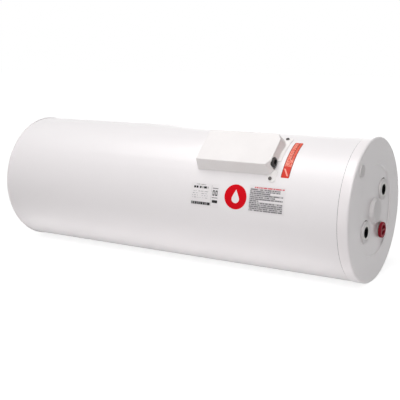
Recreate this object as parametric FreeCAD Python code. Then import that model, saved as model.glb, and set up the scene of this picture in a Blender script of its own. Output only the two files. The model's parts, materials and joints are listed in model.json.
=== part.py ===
import FreeCAD, Part
import math
import os

# A horizontal electric storage water heater, in millimetres and degrees.
# +X runs along the heater's axis to the pipe end, +Z is up and -Y is the front.
# Everything is built about the heater's own axis, and raised at the end so that
# the underside of the jacket's middle is the origin.
# Angles at the pipe end are counted from the back (+Y) towards the top.
# Angles round the jacket are counted from the front (-Y) towards the top.

Vector = FreeCAD.Vector
AXIS = Vector(1, 0, 0)

# Outer casing
body_length = 1068.0
jacket_radius = 180.0
jacket_wall = 0.8
jacket_end_inset = 6.0
seam_width = 12.0
seam_angle = 230.0
cap_wall = 1.2
cap_edge_radius = 5.0
cap_lip_radius = 0.4
pipe_cap_skirt = 26.0
blind_cap_skirt = 7.0

# Clearances: between loose pieces, between seated pieces, in running fits
# and in threads, and how far a cutting tool reaches past a surface
fit_gap = 0.15
seat_gap = 0.05
running_gap = 0.08
thread_play = 0.25
past = 1.0

# Recessed panel of the pipe end cap
panel_margin = 15.0
panel_depth = 3.0
panel_slope = 2.5
panel_edge_radius = 1.2

# Plug of the foam filling hole
fill_plug_inset = 28.0
fill_plug_angle = 133.0
fill_plug_radius = 16.0
fill_plug_rise = 3.0
fill_plug_edge_radius = 2.6
fill_plug_stem = 11.0
fill_plug_stem_length = 9.0

# Inner tank, and the foam between it and the casing
foam_thickness = 20.0
tank_wall = 1.8
head_depth = 50.0
knuckle_radius = 25.0
end_space = 30.0

# Pipe sockets, with a three-quarter inch pipe thread, and their collars
socket_circle_radius = 72.5
hot_angle = 37.5
relief_circle_radius = 74.5
relief_angle = -50.0
socket_radius = 17.0
socket_inside = 10.0
thread_radius = 12.06
thread_depth = 22.0
mouth_chamfer = 2.0
tail_bore = 9.5
ring_radius = 27.5
ring_rise = 3.5
ring_edge_radius = 2.5
ring_depth = 6.0
ring_over_socket = 0.7
ring_hole_gap = 1.3
ring_hole_shift = 1.0
ring_hole_shift_angle = 60.0
relief_rise = 1.5

# Tubes inside the tank
tube_wall = 1.5
tube_straight = 62.0
tube_bend = 30.0
tube_lean = 36.0
tube_inward = 0.35
tube_end_gap = 12.0
tube_tail = 8.0

# Plug that closes the relief valve's socket for transport
plug_head_radius = 20.0
plug_head_thickness = 7.0
plug_edge_radius = 1.5
plug_recess_radius = 13.0
plug_recess_depth = 5.0
plug_grip_width = 4.0
plug_grip_drop = 0.5
plug_stem_length = 14.0
plug_stem_wall = 3.0
plug_floor = 2.0
plug_washer = 1.5
plug_washer_radius = 17.0

# Anode and its access cap
anode_radius = 11.0
anode_length = 275.0
anode_core_radius = 2.5
anode_core_tail = 6.0
anode_core_inside = 9.5
anode_stem_radius = 13.2
anode_stem_inside = 6.0
anode_boss_radius = 19.0
anode_boss_length = 14.0
anode_boss_inside = 6.0
anode_washer = 1.5
anode_washer_radius = 17.0
anode_hex_across = 32.0
anode_hex_height = 9.0
access_radius = 33.0
access_rise = 9.5
access_slope = 5.0
access_edge_radius = 3.0
access_wall = 2.0
access_rim = 3.2
access_hole = 26.0
access_skirt = 5.0

# Terminal cover, in its own frame: outward is +Z, and +Y runs towards the top
cover_angle = 48.0
cover_start = 124.0
cover_length = 205.0
cover_half_width = 49.5
cover_rise = 26.0
cover_wall = 1.5
cover_draft = 0.16
cover_chamfer_along = 11.0
cover_chamfer_across = 16.0
cover_edge_radius = 2.5
cover_corner_radius = 3.0
cover_blank_depth = 25.0
flange_reach = 12.0
flange_half_width = 71.0
flange_corner = 8.0
ear_length = 24.0
tongue_width = 16.0
tongue_depth = 10.0
tongue_offset = 24.0
cover_screw_inset = 15.0
cover_screw_offset = 63.0
cover_screw_radius = 2.0
cover_screw_head_radius = 4.6
cover_screw_head_height = 2.6
cover_screw_dome = 1.5
cover_screw_tip = 2.0
cover_screw_play = 1.2
cover_screw_fit = 0.3
cross_reach = 2.6
cross_width = 1.3
cross_depth = 1.3
screw_pocket_radius = 5.0
screw_pocket_depth = 8.0

# Service opening in the jacket, under the cover
window_start = 150.0
window_length = 140.0
window_half_width = 38.0
window_corner = 8.0
liner_wall = 2.0

# Cable entry: gland, locknut and riveted bracket
entry_offset = -29.0
entry_height = 11.0
notch_radius = 12.5
notch_depth = 8.0
gland_radius = 11.5
gland_bore = 6.5
gland_shank = 9.5
gland_length = 12.5
gland_shank_tail = 3.0
gland_dome = 2.0
locknut_across = 21.0
locknut_thickness = 4.0
bracket_wall = 1.2
bracket_x = 320.0
bracket_base = 28.5
bracket_low = -43.0
bracket_high = 40.0
upright_half_width = 12.0
upright_height = 20.0
rivet_radius = 1.6
rivet_head_radius = 3.2
rivet_head_height = 1.0
rivet_bulb_radius = 2.5
rivet_bulb_depth = 4.0
rivet_inset_along = 4.0
rivet_inset_across = 5.0
rivet_pocket_radius = 4.2
rivet_pocket_depth = 6.0

# Heating element
element_x = 184.0
spud_radius = 29.0
spud_height = 11.0
spud_root = 10.0
element_thread = 20.95
element_gasket = 1.6
gasket_radius = 26.0
element_hex_across = 50.0
element_hex_height = 7.0
element_stem_inside = 6.0
element_leg_radius = 4.0
element_leg_offset = 12.0
element_reach = 235.0
insulator_radius = 5.0
insulator_height = 4.0

# Thermostat and over-temperature cut-out, held on the tank by a spring clip
control_start = 222.0
thermostat_length = 34.0
cutout_length = 26.0
control_gap = 0.6
control_half_width = 18.0
control_height = 20.0
clip_wall = 0.8
clip_margin = 1.6
clip_seat_margin = 4.0
clip_seat_half_width = 13.0
clip_arm_width = 12.0
clip_lip = 1.3
dial_offset = -1.0
dial_radius = 8.0
dial_height = 4.0
dial_seat = 1.5
dial_seat_play = 1.0
dial_flutes = 12
dial_flute_radius = 0.9
dial_slot_length = 11.0
dial_slot_width = 1.6
dial_slot_depth = 1.5
dial_stem_radius = 3.0
dial_stem_length = 6.0
button_radius = 3.6
button_edge_radius = 1.0
button_rise = 4.0
button_depth = 6.0
button_travel = 1.5
link_width = 7.0
link_thickness = 1.2
link_overhang = 4.0

# Screw terminals and wires
terminal_screw_radius = 1.8
terminal_head_radius = 3.4
terminal_head_height = 1.6
terminal_slot_width = 1.0
terminal_slot_depth = 0.8
terminal_screw_depth = 4.0
terminal_inset = 5.0
line_terminal_shift = 2.0
wire_radius = 1.5
wire_bend = 5.0
wire_bend_share = 0.45
block_inset = 11.5
block_length = 15.0
block_height = 14.0
block_pitch = 11.0
block_first = 2.0
block_seat = 0.5
block_bore_height = 6.0
block_well_depth = 5.0
block_well_play = 0.4
block_screw_drop = 3.0
block_wire_inset = 3.0
earth_inset = 5.5
earth_offset = -6.0
earth_screw_depth = 1.2
neutral_route_offset = 30.0

# Labels on the jacket. Each rise is counted round the jacket from its front line
label_thickness = 0.2
label_corner = 3.0
rating_label_start = 111.0
rating_label_length = 83.0
rating_label_width = 60.0
rating_label_rise = 0.0
panel_label_start = 276.0
panel_label_length = 98.0
panel_label_width = 67.0
panel_label_rise = 0.0
strip_label_start = 352.0
strip_label_length = 22.0
strip_label_width = 112.0
strip_label_rise = 91.5
badge_start = 208.5
badge_radius = 32.0
badge_rise = 1.5

# Places worked out from the sizes above
end_x = body_length / 2
panel_x = end_x - panel_depth
tank_radius = jacket_radius - foam_thickness
panel_radius = socket_circle_radius + ring_radius + panel_margin
fill_plug_circle_radius = jacket_radius - fill_plug_inset
cap_radius = jacket_radius + fit_gap + cap_wall
foot_radius = jacket_radius + fit_gap
tank_end = end_x - end_space - head_depth
tank_inner = tank_radius - tank_wall
tank_outside = tank_radius + fit_gap
crown_reach = head_depth**2 + tank_radius**2 - 2 * tank_radius * knuckle_radius
crown_radius = crown_reach / (2 * (head_depth - knuckle_radius))
anode_seat_x = tank_end + head_depth - anode_boss_inside + anode_boss_length
anode_start_x = anode_seat_x - anode_boss_length - anode_stem_inside
cover_end = cover_start + cover_length
cover_face = jacket_radius + cover_rise
flange_end = cover_end + flange_reach
cover_screw_x = flange_end - cover_screw_inset
entry_z = jacket_radius + entry_height
window_end = window_start + window_length
cavity_floor = tank_inner - spud_height
spud_top = tank_radius + spud_height
control_base = tank_radius + clip_wall + 2 * seat_gap
control_top = control_base + control_height
thermostat_end = control_start + thermostat_length
cutout_start = thermostat_end + control_gap
cutout_end = cutout_start + cutout_length
bracket_start = bracket_x - bracket_base
bracket_end = bracket_x + bracket_wall
bracket_top = foot_radius + bracket_wall
gland_start = bracket_x - locknut_thickness - gland_shank_tail
gland_end = bracket_end + gland_length
block_start = bracket_start + block_inset
block_end = block_start + block_length
block_base = bracket_top + block_seat
block_top = block_base + block_height
block_bore_z = block_base + block_bore_height
element_face = spud_top + element_gasket + element_hex_height
insulator_top = element_face + insulator_height
wire_stack = 2 * wire_radius + 2 * seat_gap


# Shapes used by many pieces

def along_x(radius, start, end, y=0.0, z=0.0):
    """A cylinder along X from start to end."""
    return Part.makeCylinder(radius, end - start, Vector(start, y, z), AXIS)


def ring_x(outer, inner, start, end, y=0.0, z=0.0):
    """A tube along X from start to end."""
    return along_x(outer, start, end, y, z).cut(along_x(inner, start - past, end + past, y, z))


def upright(radius, low, high, x=0.0, y=0.0):
    """A cylinder along Z from low to high."""
    return Part.makeCylinder(radius, high - low, Vector(x, y, low))


def box(x_pair, y_pair, z_pair):
    sizes = [pair[1] - pair[0] for pair in (x_pair, y_pair, z_pair)]
    return Part.makeBox(*sizes, Vector(x_pair[0], y_pair[0], z_pair[0]))


def rounded_wire(points, radii, closed=False):
    """Straight runs joined by tangent arcs: each point is rounded by its own radius."""
    count = len(points)
    arrivals, departures, edges = [], [], []
    for i, (point, radius) in enumerate(zip(points, radii)):
        if radius <= 0 or (not closed and i in (0, count - 1)):
            arrivals.append(point)
            departures.append(point)
            continue
        back = (points[i - 1] - point).normalize()
        onward = (points[(i + 1) % count] - point).normalize()
        half = back.getAngle(onward) / 2
        reach = radius / math.tan(half)
        inward = (back + onward).normalize()
        middle = point + inward * (radius / math.sin(half) - radius)
        arrivals.append(point + back * reach)
        departures.append(point + onward * reach)
        edges.append(Part.Arc(arrivals[-1], middle, departures[-1]).toShape())
    for i in range(count if closed else count - 1):
        start, end = departures[i], arrivals[(i + 1) % count]
        if start.distanceToPoint(end) > 1e-6:
            edges.append(Part.LineSegment(start, end).toShape())
    return Part.Wire(Part.__sortEdges__(edges))


def turned(profile, radii=None):
    """A solid turned about the X axis from (x, radius) points."""
    points = [Vector(x, 0, r) for x, r in profile]
    wire = rounded_wire(points, radii or [0] * len(points), closed=True)
    return Part.Face(wire).revolve(Vector(), AXIS, 360)


def rounded_block(x_pair, y_pair, corner, low, high):
    """A block with rounded upright edges."""
    (x0, x1), (y0, y1) = x_pair, y_pair
    points = [Vector(x, y, low) for x, y in ((x0, y0), (x1, y0), (x1, y1), (x0, y1))]
    wire = rounded_wire(points, [corner] * 4, closed=True)
    return Part.Face(wire).extrude(Vector(0, 0, high - low))


def hexagon(across, centre, side, way):
    """A hexagonal prism, with one corner towards side, raised from its centre by way."""
    corner = Vector(side).normalize() * (across / math.sqrt(3))
    turn = FreeCAD.Rotation(way, 60)
    corners = []
    for _ in range(6):
        corners.append(centre + corner)
        corner = turn.multVec(corner)
    return Part.Face(Part.makePolygon(corners + corners[:1])).extrude(way)


def swept(points, radii, outer, inner=0.0):
    """A round rod, or a tube, along a path of straight runs and tangent arcs."""
    path = rounded_wire(points, radii)
    way = points[1] - points[0]

    def rod(radius):
        section = Part.Wire(Part.makeCircle(radius, points[0], way))
        return path.makePipeShell([section], True, False)

    return rod(outer).cut(rod(inner)) if inner else rod(outer)


def rounded(shape, radius, wanted):
    """Rounds the edges whose bounding boxes are wanted."""
    return shape.makeFillet(radius, [e for e in shape.Edges if wanted(e.BoundBox)])


def round_end(shape, x, radius):
    """Rounds the rim of the face at x."""
    return rounded(shape, radius, lambda b: abs(b.XMin - x) < 1e-3 and abs(b.XMax - x) < 1e-3)


def round_top(shape, z, radius):
    """Rounds the rim of the face at z."""
    return rounded(shape, radius, lambda b: abs(b.ZMin - z) < 1e-3)


def polar(circle, angle):
    """(y, z) at the pipe end."""
    return circle * math.cos(math.radians(angle)), circle * math.sin(math.radians(angle))


def facing(shape, angle=cover_angle):
    """Turns a shape that faces +Z to face the given angle above the front."""
    moved = shape.copy()
    moved.rotate(Vector(), AXIS, 90 - angle)
    return moved


hot_place = polar(socket_circle_radius, hot_angle)
cold_place = polar(socket_circle_radius, hot_angle + 180)
relief_place = polar(relief_circle_radius, relief_angle)
fill_place = polar(fill_plug_circle_radius, fill_plug_angle)
socket_end = panel_x + ring_rise - ring_over_socket
relief_end = panel_x + relief_rise
crown_sag = crown_radius - math.sqrt(crown_radius**2 - socket_circle_radius**2)
socket_root = tank_end + head_depth - crown_sag


# Casing

def cover_screw_angles():
    lean = math.degrees(math.asin(cover_screw_offset / jacket_radius))
    return [cover_angle - lean, cover_angle + lean]


def service_window(low, high, grow=0.0):
    return rounded_block(
        (window_start - grow, window_end + grow),
        (-window_half_width - grow, window_half_width + grow),
        window_corner + grow,
        low,
        high,
    )


def rivet_places():
    x = bracket_start + rivet_inset_along
    return [(x, bracket_low + rivet_inset_across), (x, bracket_high - rivet_inset_across)]


def square_pin(radius, low, high, x, y):
    """A cylinder square to the jacket, at an offset y across the cover's frame."""
    pin = upright(radius, low, high, x)
    pin.rotate(Vector(), AXIS, -math.degrees(math.asin(y / jacket_radius)))
    return pin


def jacket():
    shell = ring_x(
        jacket_radius, jacket_radius - jacket_wall,
        -end_x + jacket_end_inset, end_x - jacket_end_inset,
    )
    seam = ring_x(
        jacket_radius + jacket_wall, jacket_radius - jacket_wall / 2,
        -end_x + blind_cap_skirt + past, end_x - pipe_cap_skirt - past,
    )
    half = seam_width / 2
    lap = box((-end_x, end_x), (-half, half), (0, 2 * jacket_radius))
    shell = shell.fuse(seam.common(facing(lap, seam_angle)))
    low, high = tank_radius, jacket_radius + past
    holes = [facing(service_window(low, high))]
    for angle in cover_screw_angles():
        hole = upright(cover_screw_radius + cover_screw_play, low, high, cover_screw_x)
        holes.append(facing(hole, angle))
    for x, y in rivet_places():
        holes.append(facing(square_pin(rivet_radius + seat_gap, low, high, x, y)))
    return shell.cut(Part.makeCompound(holes)).removeSplitter()


def blind_end_cap():
    x, skirt, edge, wall, lip = end_x, blind_cap_skirt, cap_edge_radius, cap_wall, cap_lip_radius
    profile = [
        (-x, 0), (-x, cap_radius), (-x + skirt, cap_radius), (-x + skirt, cap_radius - wall),
        (-x + wall, cap_radius - wall), (-x + wall, 0),
    ]
    return turned(profile, [0, edge, lip, lip, edge - wall, 0])


def pipe_end_cap():
    x, skirt, edge, wall, lip = end_x, pipe_cap_skirt, cap_edge_radius, cap_wall, cap_lip_radius
    outer, inner = panel_radius, panel_radius - panel_slope
    profile = [
        (panel_x, 0), (panel_x, inner), (x, outer), (x, cap_radius), (x - skirt, cap_radius),
        (x - skirt, cap_radius - wall), (x - wall, cap_radius - wall), (x - wall, outer),
        (panel_x - wall, inner), (panel_x - wall, 0),
    ]
    bend = panel_edge_radius
    cap = turned(profile, [0, bend, bend, edge, lip, lip, edge - wall, 0, 0, 0])
    shift_y, shift_z = polar(ring_hole_shift, ring_hole_shift_angle)
    low, high = panel_x - panel_depth, x + past
    holes = [along_x(access_hole, low, high)]
    for y, z in (hot_place, cold_place):
        holes.append(along_x(ring_radius + ring_hole_gap, low, high, y + shift_y, z + shift_z))
    holes.append(along_x(socket_radius + ring_hole_gap, low, high, *relief_place))
    holes.append(along_x(fill_plug_stem + fit_gap, low, high, *fill_place))
    return cap.cut(Part.makeCompound(holes))


def foam_fill_plug():
    y, z = fill_place
    top = end_x + fill_plug_rise
    head = along_x(fill_plug_radius, end_x, top, y, z)
    head = round_end(head, top, fill_plug_edge_radius)
    stem = along_x(fill_plug_stem, end_x - fill_plug_stem_length, end_x, y, z)
    return head.fuse(stem).removeSplitter()


def foam_insulation():
    """Fills the space between the tank and the casing."""
    gap, edge = fit_gap, cap_edge_radius + past
    outer = jacket_radius - jacket_wall - gap
    face = end_x - cap_wall - gap
    step = panel_x - cap_wall - gap
    profile = [
        (-face, 0), (-face, outer - edge), (-face + edge, outer), (face - edge, outer),
        (face, outer - edge), (face, panel_radius + past),
        (step, panel_radius - panel_slope + past), (step, 0),
    ]
    body = turned(profile).cut(along_x(tank_outside, -tank_end, tank_end))
    for side in (-1, 1):
        body = body.cut(dished_end(side, offset=gap))
    holes = [along_x(access_hole + gap, tank_end, end_x)]
    for y, z in (hot_place, cold_place):
        holes.append(along_x(socket_radius + gap, tank_end, end_x, y, z))
        holes.append(along_x(ring_radius + gap, panel_x - ring_depth - gap, end_x, y, z))
    holes.append(along_x(socket_radius + gap, tank_end, end_x, *relief_place))
    holes.append(
        along_x(fill_plug_stem + gap, end_x - fill_plug_stem_length - gap, end_x, *fill_place)
    )
    high = jacket_radius
    holes.append(facing(service_window(cavity_floor, high, liner_wall + gap)))
    for angle in cover_screw_angles():
        low = jacket_radius - screw_pocket_depth
        holes.append(facing(upright(screw_pocket_radius, low, high, cover_screw_x), angle))
    for x, y in rivet_places():
        low = jacket_radius - rivet_pocket_depth
        holes.append(facing(square_pin(rivet_pocket_radius, low, high, x, y)))
    return body.cut(Part.makeCompound(holes))


# Tank

def arc_about(centre_x, centre_z, radius, start, end):
    """An arc in the XZ plane between two angles from +X."""
    turns = (start, (start + end) / 2, end)
    points = [
        Vector(centre_x + radius * math.cos(t), 0, centre_z + radius * math.sin(t)) for t in turns
    ]
    return Part.Arc(*points).toShape()


def dished_end(side, offset=0.0, wall=0.0):
    """A dished end of the tank, moved out by an offset, and hollow where it has a wall."""
    base = Vector(tank_end, 0, 0)
    knuckle_z = tank_radius - knuckle_radius
    meeting = math.asin(knuckle_z / (crown_radius - knuckle_radius))

    def surface(skin):
        crown_x = tank_end + head_depth - crown_radius
        crown = arc_about(crown_x, 0, crown_radius + skin, 0, meeting)
        knuckle = arc_about(tank_end, knuckle_z, knuckle_radius + skin, meeting, math.pi / 2)
        top = base + AXIS * (head_depth + skin)
        rim = base + Vector(0, 0, tank_radius + skin)
        return [crown, knuckle], top, rim

    edges, top, rim = surface(offset)
    inner_top = inner_rim = base
    if wall:
        inner_edges, inner_top, inner_rim = surface(offset - wall)
        edges = edges + inner_edges
    edges.append(Part.LineSegment(top, inner_top).toShape())
    edges.append(Part.LineSegment(inner_rim, rim).toShape())
    dish = Part.Face(Part.Wire(Part.__sortEdges__(edges))).revolve(Vector(), AXIS, 360)
    if side < 0:
        dish.rotate(Vector(), Vector(0, 0, 1), 180)
    return dish


def tank_head(side):
    return dished_end(side, wall=tank_wall)


def tank_shell():
    shell = ring_x(tank_radius, tank_inner, -tank_end, tank_end)
    hole = upright(element_thread + thread_play, 0, tank_radius + past, element_x)
    return shell.cut(facing(hole))


def pipe_tank_head():
    holes = [along_x(anode_boss_radius + seat_gap, 0, end_x)]
    for y, z in (hot_place, cold_place, relief_place):
        holes.append(along_x(socket_radius + seat_gap, 0, end_x, y, z))
    return tank_head(1).cut(Part.makeCompound(holes))


def pipe_socket(place, end):
    """A threaded socket welded in the head, with a narrower tail for its tube."""
    y, z = place
    start = socket_root - socket_inside
    thread = along_x(thread_radius, end - thread_depth, end + past, y, z)
    tail = along_x(tail_bore, start - past, end, y, z)
    mouth = Part.makeCone(
        thread_radius, thread_radius + mouth_chamfer, mouth_chamfer,
        Vector(end - mouth_chamfer, y, z), AXIS,
    )
    return along_x(socket_radius, start, end, y, z).cut(thread.fuse(tail).fuse(mouth))


def socket_ring(place):
    """The raised collar round a socket's mouth."""
    y, z = place
    start, end = panel_x - ring_depth, panel_x + ring_rise
    collar = round_end(along_x(ring_radius, start, end, y, z), end, ring_edge_radius)
    return collar.cut(along_x(socket_radius + fit_gap, start - past, end + past, y, z))


def inner_tube(place, rise):
    """A tube from a socket's tail that bends towards the tank's top or bottom."""
    y, z = place
    start = socket_root - tube_tail
    turn = start - tube_straight
    outer = tail_bore - running_gap
    height = rise * (tank_inner - tube_end_gap)
    points = [
        Vector(start, y, z),
        Vector(turn, y, z),
        Vector(turn - tube_lean, y * tube_inward, height),
    ]
    return swept(points, [0, tube_bend, 0], outer, outer - tube_wall)


# Anode

def anode_boss():
    start = anode_seat_x - anode_boss_length
    return ring_x(anode_boss_radius, anode_stem_radius + thread_play, start, anode_seat_x)


def anode_gasket():
    return ring_x(
        anode_washer_radius, anode_stem_radius + thread_play,
        anode_seat_x, anode_seat_x + anode_washer,
    )


def anode_plug():
    seat = anode_seat_x + anode_washer
    way = AXIS * anode_hex_height
    head = hexagon(anode_hex_across, Vector(seat, 0, 0), Vector(0, 1, 0), way)
    stem = along_x(anode_stem_radius, anode_start_x, seat)
    core_end = anode_start_x + anode_core_inside + fit_gap
    core_hole = along_x(anode_core_radius + seat_gap, anode_start_x - past, core_end)
    return head.fuse(stem).cut(core_hole).removeSplitter()


def anode_rod():
    start = anode_start_x - anode_length
    return ring_x(anode_radius, anode_core_radius + seat_gap, start, anode_start_x)


def anode_core():
    start = anode_start_x - anode_length - anode_core_tail
    return along_x(anode_core_radius, start, anode_start_x + anode_core_inside)


def anode_access_cap():
    """A snap-in plastic cap over the anode's plug, on the end cap's panel."""
    top, wall, edge = panel_x + access_rise, access_wall, access_edge_radius
    shoulder = access_radius - access_slope
    skirt = access_hole - 2 * fit_gap
    profile = [
        (panel_x, access_radius), (top, shoulder), (top, 0), (top - wall, 0),
        (top - wall, shoulder - wall), (panel_x + wall, access_radius - access_rim),
        (panel_x + wall, skirt - wall), (panel_x - access_skirt, skirt - wall),
        (panel_x - access_skirt, skirt), (panel_x, skirt),
    ]
    return turned(profile, [0, edge, 0, 0, edge - wall, 0, 0, 0, 0, 0])


# Relief valve socket's transport plug

def transport_plug():
    y, z = relief_place
    seat = relief_end + plug_washer
    top = seat + plug_head_thickness
    floor = top - plug_recess_depth
    head = round_end(along_x(plug_head_radius, seat, top, y, z), top, plug_edge_radius)
    head = head.cut(along_x(plug_recess_radius, floor, top + past, y, z))
    half, reach = plug_grip_width / 2, plug_recess_radius + past
    grip_x = (floor - plug_grip_drop, top - plug_grip_drop)
    grip = box(grip_x, (y - reach, y + reach), (z - half, z + half))
    stem_start = relief_end - plug_stem_length
    stem = along_x(thread_radius - running_gap, stem_start, seat, y, z)
    hollow = along_x(thread_radius - plug_stem_wall, stem_start - past, seat - plug_floor, y, z)
    return head.fuse(grip).fuse(stem).cut(hollow).removeSplitter()


def plug_gasket():
    y, z = relief_place
    inner = thread_radius + mouth_chamfer + thread_play
    return ring_x(plug_washer_radius, inner, relief_end, relief_end + plug_washer, y, z)


# Terminal cover

def cover_outline(inset, level):
    """The cover's corners at a level. An inset moves each side in by the same distance."""
    grow = cover_draft * (cover_face - level) - inset
    x0, x1, w = cover_start - grow, cover_end + grow, cover_half_width + grow
    along, across = cover_chamfer_along, cover_chamfer_across
    slant = math.hypot(along, across)
    near = along - inset * (1 - (slant - along) / across)
    far = across - inset * (1 - (slant - across) / along)
    return [(x0, -w), (x1 - near, -w), (x1, -w + far), (x1, w - far), (x1 - near, w), (x0, w)]


def cover_block(inset, low, top):
    wires = []
    for level in (low, top):
        corners = [Vector(x, y, level) for x, y in cover_outline(inset, level)]
        wires.append(Part.makePolygon(corners + corners[:1]))
    return Part.makeLoft(wires, True, True)


def terminal_cover():
    low, top = jacket_radius - cover_blank_depth, cover_face
    outer = cover_block(0, low, top)
    outer = rounded(outer, cover_corner_radius, lambda b: b.ZLength > cover_rise)
    outer = round_top(outer, top, cover_edge_radius)
    inner = cover_block(cover_wall, low - past, top - cover_wall)
    walls = outer.cut(inner).cut(along_x(foot_radius, 0, end_x))

    # The out-turned flange lies on the jacket and has an ear at each end
    ears = rounded_block(
        (flange_end - ear_length, flange_end), (-flange_half_width, flange_half_width),
        flange_corner, low, top,
    )
    sheet = ring_x(foot_radius + cover_wall, foot_radius, cover_start, end_x)
    cover = walls.fuse(sheet.common(ears).cut(inner))

    # Two tongues reach through the service window and keep the cover in place
    x = window_start + 2 * fit_gap
    for y in (-tongue_offset, tongue_offset):
        tongue = box(
            (x, x + cover_wall), (y - tongue_width / 2, y + tongue_width / 2),
            (foot_radius - tongue_depth, top - cover_wall / 2),
        )
        cover = cover.fuse(tongue)

    # The notch is open towards the jacket, so that the cover lifts off the gland
    r, y = notch_radius, entry_offset
    along = (cover_end - notch_depth, flange_end + past)
    notch = along_x(r, *along, y, entry_z).fuse(box(along, (y - r, y + r), (low, entry_z)))
    cover = cover.cut(notch)
    for angle in cover_screw_angles():
        hole = upright(cover_screw_radius + cover_screw_fit, low, top, cover_screw_x)
        cover = cover.cut(facing(hole, 90 + angle - cover_angle))
    return facing(cover.removeSplitter())


def cover_screws():
    x = cover_screw_x
    seat = foot_radius + cover_wall + seat_gap
    top = seat + cover_screw_head_height
    half = cross_width / 2
    screws = []
    for angle in cover_screw_angles():
        head = round_top(upright(cover_screw_head_radius, seat, top, x), top, cover_screw_dome)
        shank = upright(cover_screw_radius, jacket_radius - cover_screw_tip, top - cross_depth, x)
        slot = box((x - cross_reach, x + cross_reach), (-half, half), (top - cross_depth, top))
        other = box((x - half, x + half), (-cross_reach, cross_reach), (top - cross_depth, top))
        screw = head.fuse(shank).cut(slot.fuse(other))
        screws.append(facing(screw.removeSplitter(), angle))
    return Part.makeCompound(screws)


# Service space under the cover

def cavity_liner():
    """Keeps the foam out of the service space, from the tank to the jacket."""
    frame = service_window(cavity_floor, jacket_radius, liner_wall)
    frame = frame.cut(service_window(cavity_floor - past, jacket_radius + past))
    between = ring_x(jacket_radius - jacket_wall - fit_gap, tank_outside, 0, end_x)
    return facing(frame.common(between))


def gland_bracket():
    """A riveted angle that carries the cable gland, the terminal block and the earth."""
    base = ring_x(bracket_top, foot_radius, bracket_start, bracket_end)
    footprint = box(
        (bracket_start, bracket_end), (bracket_low, bracket_high), (0, bracket_top)
    )
    y = entry_offset
    plate = box(
        (bracket_x, bracket_end), (y - upright_half_width, y + upright_half_width),
        (tank_radius, jacket_radius + upright_height),
    )
    plate = plate.cut(along_x(foot_radius, 0, end_x))
    holes = [along_x(gland_shank + fit_gap, bracket_x - past, bracket_end + past, y, entry_z)]
    low, high = tank_radius, bracket_top + past
    for x, place in rivet_places():
        holes.append(square_pin(rivet_radius + seat_gap, low, high, x, place))
    holes.append(upright(terminal_screw_radius + seat_gap, low, high, *earth_place()))
    bracket = base.common(footprint).fuse(plate).cut(Part.makeCompound(holes))
    return facing(bracket.removeSplitter())


def bracket_rivets():
    seat = bracket_top + seat_gap
    inside = jacket_radius - jacket_wall - seat_gap
    rivets = []
    for x, y in rivet_places():
        head = square_pin(rivet_head_radius, seat, seat + rivet_head_height, x, y)
        shank = square_pin(rivet_radius, jacket_radius - rivet_bulb_depth, seat, x, y)
        bulb = square_pin(rivet_bulb_radius, jacket_radius - rivet_bulb_depth, inside, x, y)
        rivets.append(facing(head.fuse(shank).fuse(bulb).removeSplitter()))
    return Part.makeCompound(rivets)


def cable_gland():
    """A black moulded gland that stands in the cover's notch."""
    y = entry_offset
    body = along_x(gland_radius, bracket_end, gland_end, y, entry_z)
    body = round_end(body, gland_end, gland_dome)
    shank = along_x(gland_shank, gland_start, bracket_end, y, entry_z)
    bore = along_x(gland_bore, gland_start - past, gland_end + past, y, entry_z)
    return facing(body.fuse(shank).cut(bore).removeSplitter())


def gland_locknut():
    start = bracket_x - locknut_thickness
    centre = Vector(start, entry_offset, entry_z)
    nut = hexagon(locknut_across, centre, Vector(0, 1, 0), AXIS * locknut_thickness)
    hole = along_x(gland_shank + seat_gap, start - past, bracket_x, entry_offset, entry_z)
    return facing(nut.cut(hole))


# Terminals

def screw_terminal(x, y, seat, grip=wire_stack, depth=terminal_screw_depth):
    """A terminal's screw: its head clamps what lies on the seat, grip thick."""
    low = seat + grip
    top = low + terminal_head_height
    r, half = terminal_head_radius, terminal_slot_width / 2
    shank = upright(terminal_screw_radius, seat - depth, low, x, y)
    slot = box((x - r, x + r), (y - half, y + half), (top - terminal_slot_depth, top))
    return upright(r, low, top, x, y).fuse(shank).cut(slot).removeSplitter()


def earth_place():
    return bracket_start + earth_inset, earth_offset


def earth_screw():
    seat = bracket_top + seat_gap
    return facing(screw_terminal(*earth_place(), seat, depth=earth_screw_depth))


def block_poles():
    """(x, y) of the terminal block's poles: earth, line and neutral."""
    x = (block_start + block_end) / 2
    return [(x, block_first + block_pitch * (i + 0.5)) for i in range(3)]


def terminal_block():
    width = block_pitch * len(block_poles())
    body = box(
        (block_start, block_end), (block_first, block_first + width), (block_base, block_top)
    )
    well_floor = block_top - block_well_depth
    for x, y in block_poles():
        well = upright(terminal_head_radius + block_well_play, well_floor, block_top, x, y)
        wire_way = along_x(wire_radius + fit_gap, block_start, block_end, y, block_bore_z)
        screw_way = upright(terminal_screw_radius + fit_gap, block_bore_z, block_top, x, y)
        body = body.cut(well.fuse(wire_way).fuse(screw_way))
    return facing(body)


def block_screws():
    seat = block_top - block_screw_drop - terminal_head_height
    depth = seat - block_bore_z - wire_radius - seat_gap
    return Part.makeCompound([
        facing(screw_terminal(x, y, seat, grip=0.0, depth=depth)) for x, y in block_poles()
    ])


# Heating element

def element_spud():
    """The threaded boss that is welded on the tank."""
    outer = upright(spud_radius, tank_radius - spud_root, spud_top, element_x)
    bore = upright(element_thread + thread_play, 0, spud_top + past, element_x)
    return facing(outer.cut(bore).cut(along_x(tank_radius + seat_gap, 0, end_x)))


def element_seal():
    top = spud_top + element_gasket
    outer = upright(gasket_radius, spud_top, top, element_x)
    hole = upright(element_thread + thread_play, spud_top - past, top + past, element_x)
    return facing(outer.cut(hole))


def element_plug():
    low = spud_top + element_gasket
    way = Vector(0, 0, element_hex_height)
    head = hexagon(element_hex_across, Vector(element_x, 0, low), AXIS, way)
    stem = upright(element_thread, tank_inner - element_stem_inside, low, element_x)
    return facing(head.fuse(stem).removeSplitter())


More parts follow.
